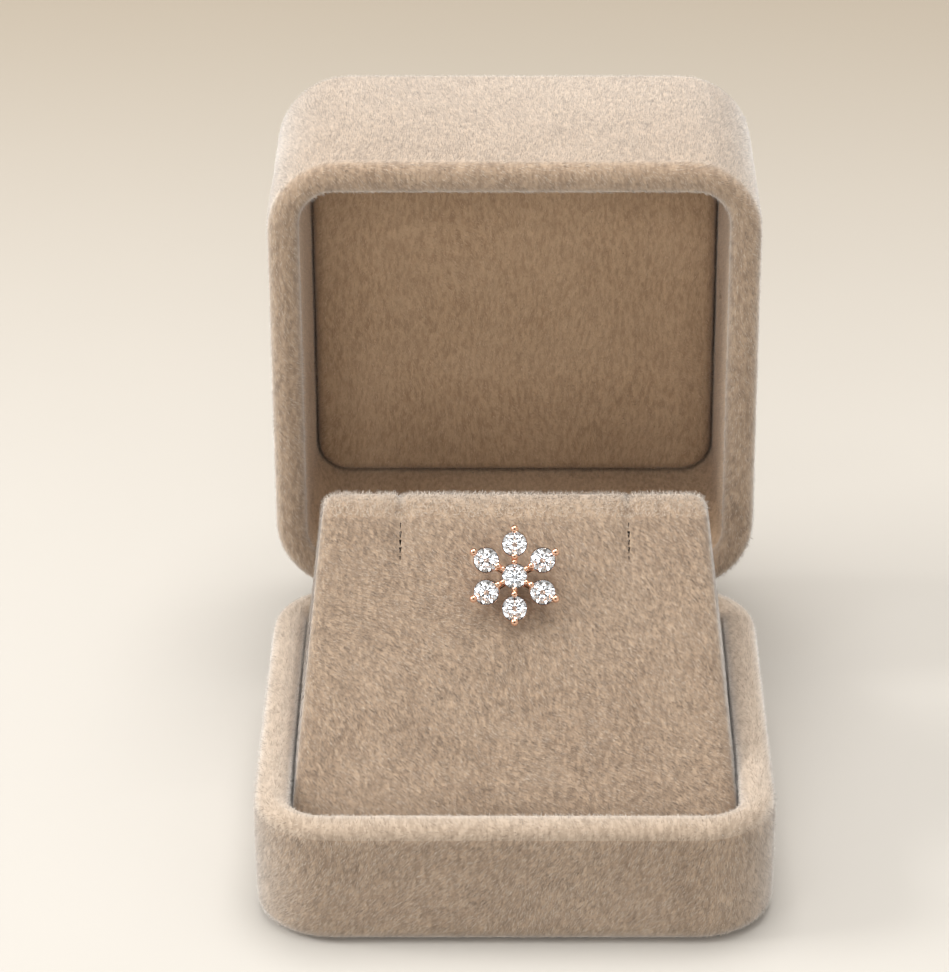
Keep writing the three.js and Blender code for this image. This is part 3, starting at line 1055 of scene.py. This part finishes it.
@dataclass
class Lining:
    """The padded panel on the inside of the lid's top."""

    thickness: float = 2.6 * MM
    edge_round: float = 1.1 * MM
    corner_steps: int = 8
    round_steps: int = 6

    def build(self, place: Matrix, materials: Sequence[bpy.types.Material]) -> bpy.types.Object:
        """Builds the panel.

        Args:
            place: the lid's place.
            materials: a material for each zone.

        Returns:
            The piece.
        """
        s = SIZES
        base = s.lid_top + s.seat_gap
        inset = s.wall + s.seat_gap
        centre = base + self.thickness - self.edge_round
        face = Section.OUTER_RIM.points(inset + self.edge_round, centre, self.edge_round, self.round_steps)
        under = [WallPoint(inset + s.inner_edge_round, base), WallPoint(inset, base + s.inner_edge_round)]
        rings = [wall_ring(p, s.inner_radius + s.wall - p.inset) for p in (*under, *face)]
        bm = loft(rings, [Zone.BARE, Zone.BARE, *[Zone.INSIDE] * (len(rings) - 1)], self.corner_steps)
        bmesh.ops.transform(bm, matrix=place, verts=bm.verts[:])
        panel = piece("lid_panel", bm, materials)
        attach(panel, "lid")
        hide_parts("lid_lining")
        return panel


@dataclass
class Pad:
    """The sloping pad: a firm wedge under velvet, with a ridge, two slits and a hole for the stud's post."""

    top: float = 31.2 * MM
    run: float = 27.94 * MM
    ridge: float = 3 * MM
    top_width: float = 38.1 * MM
    shoulder: float = 10 * MM
    side_radius: float = 1.2 * MM
    ridge_round: float = 1.3 * MM
    slit_spacing: float = 22.7 * MM
    slit_width: float = 0.28 * MM
    slit_length: float = 6 * MM
    slit_depth: float = 1.6 * MM
    slit_tail: float = 0.45
    openings: tuple[tuple[float, float, float], ...] = (
        (1.9, 2.5, 0.5),
        (2.8, 3.5, 1.0),
        (3.7, 4.3, 0.9),
        (4.5, 5.1, 1.0),
        (5.4, 5.9, 0.6),
    )
    hole_radius: float = 0.6 * MM
    hole_ends: tuple[float, float] = (-1 * MM, -8.62 * MM)
    hole_sides: int = 16
    notch_depth: float = 0.45 * MM
    notch_width: float = 0.4 * MM
    notch_reach: float = 1.5 * MM
    dent_depth: float = 0.3 * MM
    dent_width: float = 1.0 * MM
    dent_fade: float = 3.0
    slope_steps: int = 24
    ridge_bands: int = 6
    folds: tuple[float, ...] = (0, 0.15, 0.3, 0.5, 0.75, 1.05, 1.4, 1.9, 2.6)
    corner_steps: int = 6
    round_steps: int = 6
    corner_share: float = 0.45

    @property
    def foot(self) -> float:
        """Height where the slope starts."""
        return SIZES.tray_floor + SIZES.seat_gap + SIZES.inner_edge_round

    @property
    def front(self) -> float:
        """Place of the pad's front along Y."""
        return SIZES.wall + SIZES.seat_gap - SIZES.depth / 2

    @property
    def slope(self) -> Matrix:
        """The slope's frame: from the middle of the top edge, with +Y up the slope and +Z off it."""
        tilt = math.atan2(self.top - self.foot, self.run)
        return Matrix.Translation((0, self.front + self.run, self.top)) @ Matrix.Rotation(tilt, 4, "X")

    def ring(self, point: WallPoint) -> Ring:
        """The pad's outline at one height, drawn in by the point's inset all round.

        Args:
            point: the inset and the height.

        Returns:
            The ring.
        """

        def share(low: float, high: float) -> float:
            return min(max((point.z - low) / (high - low), 0.0), 1.0)

        def between(start: float, end: float, part: float) -> float:
            return start + (end - start) * part

        s = SIZES
        lean = share(self.shoulder, self.top)
        width = between(s.width - 2 * (s.wall + s.seat_gap), self.top_width, lean) - 2 * point.inset
        front = self.front + self.run * share(self.foot, self.top) + point.inset
        back = between(-self.front, self.front + self.run + self.ridge, lean) - point.inset
        widest = (back - front) * self.corner_share
        front_radius = between(s.inner_radius, self.side_radius, share(self.foot, self.shoulder))
        back_radius = between(s.inner_radius, self.side_radius, lean)
        return Ring(width, front, back, point.z, min(front_radius, widest), min(back_radius, widest))

    def rings(self) -> list[Ring]:
        """The rings from the underside to the ridge.

        Returns:
            The rings, in that order.
        """
        s = SIZES
        ridge = Section.OUTER_RIM.points(
            self.ridge_round, self.top - self.ridge_round, self.ridge_round, self.round_steps
        )
        rise = self.top - self.ridge_round - self.shoulder
        slope = [self.shoulder + rise * i / self.slope_steps for i in range(self.slope_steps)]
        levels = [WallPoint(0, z) for z in (self.foot, *slope)]
        points = [WallPoint(s.inner_edge_round, s.tray_floor + s.seat_gap), *levels, *ridge]
        return [self.ring(p) for p in points]

    def soften_slope(self, bm: bmesh.types.BMesh) -> None:
        """Presses the slope in softly along the slits, and notches the ridge above them.

        Args:
            bm: the pad's mesh.
        """
        folds = sorted({sign * fold for sign in (-1, 1) for fold in self.folds})
        for middle in (-self.slit_spacing / 2, self.slit_spacing / 2):
            for fold in folds:
                bmesh.ops.bisect_plane(
                    bm,
                    geom=[*bm.verts[:], *bm.edges[:], *bm.faces[:]],
                    dist=MERGE_DISTANCE,
                    plane_co=(middle + fold * MM, 0, 0),
                    plane_no=(1, 0, 0),
                )
        back = self.slope.inverted()
        lift = self.slope.to_3x3() @ Vector((0, 0, 1))
        for vert in bm.verts:
            at = back @ vert.co
            away = min(abs(at.x - side * self.slit_spacing / 2) for side in (-1, 1))
            height = min(max(1 - (self.top - vert.co.z) / self.notch_reach, 0.0), 1.0)
            vert.co.z -= self.notch_depth * height * math.exp(-((away / self.notch_width) ** 2))
            if at.z > -self.ridge_round:
                beyond = max(-self.slit_length - at.y, 0.0, self.dent_fade * at.y + self.notch_reach)
                press = math.exp(-((away / self.dent_width) ** 2) - (beyond / self.dent_width) ** 2)
                vert.co -= lift * self.dent_depth * press

    def slit(self, side: int) -> bmesh.types.BMesh:
        """The openings of one slit, where the nap doesn't close over it.

        Args:
            side: -1 for the left one and 1 for the right one.

        Returns:
            The mesh that cuts them.
        """
        bm = bmesh.new()
        for near, far, share in self.openings:
            half = self.slit_width * share / 2
            verts = add_block(bm, (-half, -far * MM, -self.slit_depth), (half, -near * MM, OVERSHOOT))
            for vert in verts:
                vert.co.x *= self.slit_tail if vert.co.y < -(near + far) / 2 * MM else 1
        place = self.slope @ Matrix.Translation((side * self.slit_spacing / 2, 0, 0))
        bmesh.ops.transform(bm, matrix=place, verts=bm.verts[:])
        return bm

    def build(self, stud: Matrix, materials: Sequence[bpy.types.Material]) -> bpy.types.Object:
        """Builds the pad.

        Args:
            stud: the stud's place.
            materials: a material for each zone.

        Returns:
            The piece.
        """
        rings = self.rings()
        slope = [Zone.OUTSIDE] * (len(rings) - 1 - self.ridge_bands)
        zones = [Zone.INSIDE, Zone.INSIDE, *slope, *[Zone.RIM] * self.ridge_bands]
        bm = loft(rings, zones, self.corner_steps)
        self.soften_slope(bm)
        pad = piece("sloping_pad", bm, materials)
        hole = bmesh.new()
        start, end = (stud @ Vector((0, 0, z)) for z in self.hole_ends)
        add_rod(hole, start, end, (self.hole_radius, self.hole_radius), self.hole_sides)
        cut(pad, [self.slit(-1), self.slit(1), hole])
        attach(pad, "box")
        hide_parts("pad")
        return pad


@dataclass
class Stud:
    """The stud: seven brilliants in cups, with ball prongs and beads, all on one post."""

    down: float = 8.5 * MM
    standoff: float = 2.4 * MM
    droop: float = 10.0
    petals: int = 6
    petal_ring: float = 3.21 * MM
    stone_radius: float = 1.21 * MM
    lip_reach: float = 0.09 * MM
    lip_drop: float = 0.1 * MM
    lip_edge: tuple[tuple[float, float], ...] = (
        (-0.01 * MM, -0.08 * MM),
        (0.0, 0.0),
        (-0.02 * MM, 0.05 * MM),
    )
    lip_share: float = 0.97
    seat_reach: float = 0.03 * MM
    seat_rise: float = 0.04 * MM
    seat_slack: float = 0.001 * MM
    hollow: tuple[tuple[float, float], ...] = ((0.12 * MM, -1.06 * MM), (0.0, -1.1 * MM))
    hollow_depth: float = 1.2 * MM
    base_radius: float = 0.55 * MM
    base: float = 1.32 * MM
    outer_ring: float = 4.64 * MM
    outer_radius: float = 0.385 * MM
    outer_rise: float = 0.42 * MM
    inner_ring: float = 1.88 * MM
    inner_radius: float = 0.33 * MM
    inner_rise: float = 0.5 * MM
    bead_ring: float = 1.34 * MM
    bead_radius: float = 0.27 * MM
    bead_rise: float = 0.36 * MM
    claw_radius: float = 0.16 * MM
    claw_knee: float = 0.35 * MM
    neck_width: float = 0.46 * MM
    neck_top: float = 0.26 * MM
    bar_start: float = 0.5 * MM
    bar_width: float = 0.56 * MM
    bar_height: float = 0.5 * MM
    post_radius: float = 0.4 * MM
    post_length: float = 7 * MM
    point_reach: float = 1.56 * MM
    cup_sides: int = 32
    ball_sides: int = 24
    rod_sides: int = 12

    def place(self, slope: Matrix) -> Matrix:
        """The stud's frame: from the middle of the centre stone, with +Z away from the pad.

        Args:
            slope: the frame of the pad's slope.

        Returns:
            The frame.
        """
        at = slope @ Vector((0, -self.down, self.standoff))
        turn = slope.to_euler().x + math.radians(self.droop)
        return Matrix.Translation(at) @ Matrix.Rotation(turn, 4, "X")

    def add_cup(self, bm: bmesh.types.BMesh, at: float, pointed: bool) -> list[bmesh.types.BMVert]:
        """Adds the hollow cup under a stone.

        Args:
            bm: the mesh that it is added to.
            at: distance of the stone from the stud's middle, along +Y.
            pointed: whether the lip is drawn out to a point towards the stud's middle.

        Returns:
            The new vertices.
        """
        lip = self.stone_radius + self.lip_reach
        seat = self.stone_radius + self.seat_reach
        outline = [
            (0.0, -self.base),
            (self.base_radius, -self.base),
            *((lip + out, up - self.lip_drop) for out, up in self.lip_edge),
            (seat, self.seat_rise - self.lip_drop),
            *self.hollow,
        ]
        verts = [bm.verts.new((radius, 0, z)) for radius, z in outline]
        edges = [bm.edges.new(pair) for pair in zip(verts, verts[1:])]
        bmesh.ops.spin(
            bm,
            geom=[*verts, *edges],
            cent=(0, 0, 0),
            axis=(0, 0, 1),
            angle=math.tau,
            steps=self.cup_sides,
            use_merge=True,
        )
        made = self.island(verts[3])
        bmesh.ops.remove_doubles(bm, verts=made, dist=MERGE_DISTANCE)
        made = [v for v in made if v.is_valid]
        reach = seat + self.seat_slack
        inner = {v for v in made if v.co.xy.length < reach and v.co.z > -self.hollow_depth}
        # Painted shade: the faces inside the cup, below the stone, take the second, dark material.
        for face in {f for v in inner for f in v.link_faces}:
            face.material_index = int(inner.issuperset(face.verts))
        if pointed:
            self.draw_point(made, lip)
        bmesh.ops.translate(bm, vec=(0, at, 0), verts=made)
        return made

    def island(self, start: bmesh.types.BMVert) -> list[bmesh.types.BMVert]:
        """All vertices joined to one vertex.

        Args:
            start: the vertex.

        Returns:
            The vertices, the first one with them.
        """
        found, todo = {start}, [start]
        while todo:
            for edge in todo.pop().link_edges:
                for vert in edge.verts:
                    if vert not in found:
                        found.add(vert)
                        todo.append(vert)
        return list(found)

    def draw_point(self, verts: Iterable[bmesh.types.BMVert], lip: float) -> None:
        """Draws a cup's outer wall out to a point towards -Y, where the inner prong stands.

        Args:
            verts: the cup's vertices, about the stone's axis.
            lip: the lip's radius.
        """
        tangent = math.acos(lip / self.point_reach)
        for vert in verts:
            radius = vert.co.xy.length
            off = abs(math.atan2(vert.co.x, -vert.co.y))
            if radius < lip * self.lip_share or off >= tangent:
                continue
            vert.co.xy *= 1 / math.cos(tangent - off)

    def add_petal(self, bm: bmesh.types.BMesh) -> list[bmesh.types.BMVert]:
        """Adds one petal's metal, pointing along +Y.

        Args:
            bm: the mesh that it is added to.

        Returns:
            The new vertices.
        """
        made = self.add_cup(bm, self.petal_ring, True)
        half_neck, half_bar = self.neck_width / 2, self.bar_width / 2
        web = add_block(
            bm, (-half_neck, self.bead_ring, -self.base), (half_neck, self.inner_ring, self.neck_top)
        )
        bar = add_block(
            bm,
            (-half_bar, self.bar_start, -self.base),
            (half_bar, self.petal_ring, self.bar_height - self.base),
        )
        back = self.petal_ring + self.base_radius - self.claw_radius
        root = Vector((0, back, self.claw_radius - self.base))
        knee = Vector((0, self.outer_ring, -self.claw_knee))
        tip = Vector((0, self.outer_ring, self.outer_rise))
        radii = (self.claw_radius, self.claw_radius)
        made += web + bar
        made += add_rod(bm, root, knee, radii, self.rod_sides)
        made += add_rod(bm, knee, tip, radii, self.rod_sides)
        balls = (
            (self.outer_ring, self.outer_rise, self.outer_radius),
            (self.inner_ring, self.inner_rise, self.inner_radius),
            (self.bead_ring, self.bead_rise, self.bead_radius),
        )
        for ring, rise, radius in balls:
            made += bmesh.ops.create_uvsphere(
                bm,
                u_segments=self.ball_sides,
                v_segments=self.ball_sides // 2,
                radius=radius,
                matrix=Matrix.Translation((0, ring, rise)),
            )["verts"]
        return made

    def build(self, place: Matrix, materials: Sequence[bpy.types.Material]) -> bpy.types.Object:
        """Builds the setting: all the stud's metal.

        Args:
            place: the stud's place.
            materials: the gold, and the painted shade inside the cups: a dark grey metal.

        Returns:
            The piece.
        """
        bm = bmesh.new()
        self.add_cup(bm, 0.0, False)
        for petal in range(self.petals):
            made = self.add_petal(bm)
            turn = Matrix.Rotation(petal * math.tau / self.petals, 3, "Z")
            bmesh.ops.rotate(bm, cent=(0, 0, 0), matrix=turn, verts=made)
        back, end = Vector((0, 0, -self.base)), Vector((0, 0, -self.base - self.post_length))
        add_rod(bm, back, end, (self.post_radius, self.post_radius), self.rod_sides)
        for face in bm.faces:
            face.smooth = True
        bmesh.ops.recalc_face_normals(bm, faces=bm.faces[:])
        bmesh.ops.transform(bm, matrix=place, verts=bm.verts[:])
        setting = piece("stud_setting", bm, materials)
        setting.data.set_sharp_from_angle(angle=SHARP_ANGLE)
        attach(setting, "box")
        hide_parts("stud_frame")
        return setting

    def dress_stones(self, stone: bpy.types.Material) -> None:
        """Gives every packed stone its material.

        Args:
            stone: the material.
        """
        names = ["centre_stone", *(f"petal_stone_{i + 1}" for i in range(self.petals))]
        for name in names:
            dress_node(name, stone)


def dress_node(name: str, material: bpy.types.Material) -> None:
    """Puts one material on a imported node.

    Args:
        name: the node.
        material: its new material.
    """
    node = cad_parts[name]
    for slot in node.material_slots:
        slot.material = material
    LOG.info("%s: dressed with %s", name, material.name)


@dataclass(frozen=True)
class SoftLight:
    """A square area light that faces a point."""

    name: str
    place: tuple[float, float, float]
    aim: tuple[float, float, float]
    size: float
    power: float
    colour: Colour = (1.0, 1.0, 1.0)
    mirrored: bool = True

    def build(self) -> None:
        """Adds the light to the scene; polished metal only shows it when it is mirrored."""
        data = bpy.data.lights.new(self.name, "AREA")
        data.size, data.energy, data.color = self.size, self.power, self.colour
        light = bpy.data.objects.new(self.name, data)
        light.location = self.place
        light.rotation_euler = (Vector(self.aim) - Vector(self.place)).to_track_quat("-Z", "Y").to_euler()
        light.visible_glossy = self.mirrored
        bpy.context.scene.collection.objects.link(light)


@dataclass
class Studio:
    """The pale floor, the soft lights and the camera of the photograph."""

    floor_size: float = 6.0
    floor_level: float = -0.02 * MM
    sky_top: Colour = (1.0, 0.945, 0.87)
    sky_low: Colour = (0.64, 0.54, 0.44)
    sky_ends: tuple[float, float] = (-0.1, 0.9)
    sky_strength: float = 0.9
    dark_side: tuple[float, float, float] = (0.0, -0.93, 0.36)
    dark_ends: tuple[float, float] = (0.84, 0.93)
    dark_colour: Colour = (0.02, 0.018, 0.016)
    elevation: float = 27.1
    distance: float = 367.7 * MM
    aim_height: float = 36.89 * MM
    lens: float = 140.07
    sensor: float = 36.0
    clip: tuple[float, float] = (0.01, 20.0)
    shift: float = -0.0412
    lights: tuple[SoftLight, ...] = (
        SoftLight("key", (-0.66, -0.02, 0.46), (0, 0, 0.02), 0.3, 3.7, (1.0, 0.97, 0.92)),
        SoftLight("overhead", (0.03, 0.12, 0.9), (0, 0, 0), 0.5, 5.4, (1.0, 0.97, 0.93)),
        SoftLight("fill", (-0.06, -1.05, 0.42), (0, 0, 0.03), 0.6, 5.1, (1.0, 0.98, 0.95), False),
        SoftLight("sparkle", (-0.3, -0.35, 0.8), (0, 0, 0.03), 0.12, 0.3, (0.95, 0.98, 1.0)),
    )

    def add_floor(self) -> None:
        """Adds the floor."""
        bm = bmesh.new()
        bmesh.ops.create_grid(bm, x_segments=1, y_segments=1, size=self.floor_size / 2)
        bmesh.ops.translate(bm, vec=(0, 0, self.floor_level), verts=bm.verts[:])
        piece("studio_floor", bm, [FloorFinish().material()])

    def add_sky(self) -> None:
        """Lights the room softly, lighter from above."""
        world = bpy.data.worlds.new("soft_room")
        world.use_nodes = True
        bpy.context.scene.world = world
        bench = NodeBench(world.node_tree)
        towards = bench.add("ShaderNodeTexCoord").outputs["Generated"]
        height = bench.add("ShaderNodeSeparateXYZ", {"Vector": towards}).outputs["Z"]
        sky = bench.mix(bench.spread(height, self.sky_ends), self.sky_low, self.sky_top)
        facing = bench.vector_math("DOT_PRODUCT", towards, self.dark_side)
        tint = bench.mix(bench.spread(facing, self.dark_ends), sky, self.dark_colour)
        bench.feed(world.node_tree.nodes["Background"], {"Color": tint, "Strength": self.sky_strength})

    def add_camera(self) -> None:
        """Adds the camera, with the framing of the photograph."""
        data = bpy.data.cameras.new("camera")
        data.lens, data.sensor_width, data.shift_x = self.lens, self.sensor, self.shift
        data.clip_start, data.clip_end = self.clip
        camera = bpy.data.objects.new("camera", data)
        tilt = math.radians(self.elevation)
        height = self.aim_height + self.distance * math.sin(tilt)
        camera.location = (0, -self.distance * math.cos(tilt), height)
        camera.rotation_euler = (math.pi / 2 - tilt, 0, 0)
        bpy.context.scene.collection.objects.link(camera)
        bpy.context.scene.camera = camera

    def build(self) -> None:
        """Sets up the whole studio."""
        self.add_floor()
        self.add_sky()
        for light in self.lights:
            light.build()
        self.add_camera()
        bpy.context.scene.view_settings.view_transform = "Standard"
        LOG.info("studio: floor, sky, %d lights and camera", len(self.lights))


TRAY = BoxHalf(
    name="velvet_tray",
    node="tray",
    body="box",
    height=SIZES.tray_height,
    floor=SIZES.tray_floor,
    foot_round=1.5 * MM,
    foot_zone=Zone.BARE,
    hinge_side=1,
    place=Matrix.Identity(4),
)
LID = BoxHalf(
    name="velvet_lid",
    node="lid_shell",
    body="lid",
    height=SIZES.lid_height,
    floor=SIZES.lid_top,
    foot_round=2.5 * MM,
    foot_zone=Zone.OUTSIDE,
    hinge_side=-1,
    place=Matrix.Translation(
        (0, SIZES.axis_y + SIZES.lid_height + SIZES.rim_gap / 2, SIZES.axis_z + SIZES.axis_y)
    )
    @ Matrix.Rotation(math.pi / 2, 4, "X"),
)

PILES = (
    Pile(
        "tray_pile", "velvet_tray", "box", Zone.OUTSIDE, 100000, 11,
        lean=(-0.6, 0.4, -0.6), swirl=0.8, pallor=0.32,
    ),
    # Painted highlight: the tray rim's hairs take paler tones.
    Pile(
        "tray_rim_pile", "velvet_tray", "box", Zone.RIM, 14000, 18,
        lean=(-0.3, 0.5, -0.4), swirl=0.8, pallor=0.35,
    ),
    Pile("tray_inner_pile", "velvet_tray", "box", Zone.INSIDE, 30000, 12, length=0.3 * MM),
    Pile(
        "pad_pile", "sloping_pad", "box", Zone.OUTSIDE, 190000, 13,
        length=0.5 * MM, width=0.045 * MM, lean=(0.9, -0.6, -0.7), swirl=0.9,
    ),
    # Painted highlight: the ridge's hairs take the palest tones.
    Pile(
        "ridge_pile", "sloping_pad", "box", Zone.RIM, 8000, 19,
        length=0.55 * MM, rise=0.6, lean=(0.1, -0.2, 0.0), swirl=0.8, scatter=0.7, pallor=0.85,
    ),
    Pile(
        "lid_pile", "velvet_lid", "lid", Zone.OUTSIDE, 190000, 14,
        lean=(0.0, 0.8, -0.4), swirl=0.8, pallor=0.15,
    ),
    # Painted highlight: the lid rim's hairs take paler tones.
    Pile("lid_rim_pile", "velvet_lid", "lid", Zone.RIM, 17000, 15, lean=(0.5, 0.0, -0.7), pallor=0.35),
    Pile("lid_inner_pile", "velvet_lid", "lid", Zone.INSIDE, 40000, 16, taupe=True, length=0.35 * MM),
    Pile(
        "lining_pile", "lid_panel", "lid", Zone.INSIDE, 60000, 17,
        taupe=True, slot="lining_velvet", length=0.35 * MM,
    ),
)


def main() -> None:
    """Builds the studio, the box, the pad and the stud, and reports each piece."""
    logging.basicConfig(level=logging.INFO, format="%(name)s %(message)s")
    Studio().build()
    beige = BEIGE_VELVET.ground.material()
    taupe = TAUPE_VELVET.ground.material()
    # Painted highlight: the paler velvet goes on the tray's rim.
    pale = RIM_HIGHLIGHT_VELVET.material()
    made = [
        TRAY.build([pale if zone is Zone.RIM else beige for zone in Zone]),
        LID.build([taupe if zone is Zone.INSIDE else beige for zone in Zone]),
        Lining().build(LID.place, [taupe] * len(Zone)),
    ]
    cushion, stud = Pad(), Stud()
    place = stud.place(cushion.slope)
    # Painted shade: the pad's cut faces, in the slits and the hole, take the near-black velvet.
    deep = SHADED_VELVET.material()
    made.append(cushion.build(place, [deep if zone is Zone.BARE else beige for zone in Zone]))
    made.append(stud.build(place, [ROSE_GOLD.material(), SHADED_SEAT.material()]))
    for item in made:
        LOG.info("%s: %d faces", item.name, len(item.data.polygons))
    stud.dress_stones(StoneFinish().material())
    steel = HINGE_STEEL.material()
    for leaf in ("hinge_tray_leaf", "hinge_lid_leaf"):
        dress_node(leaf, steel)
    beige_hairs = [tone.material() for tone in BEIGE_VELVET.hairs]
    taupe_hairs = [tone.material() for tone in TAUPE_VELVET.hairs]
    for pile in PILES:
        pile.grow(taupe_hairs if pile.taupe else beige_hairs)


if __name__ == "__main__":
    main()
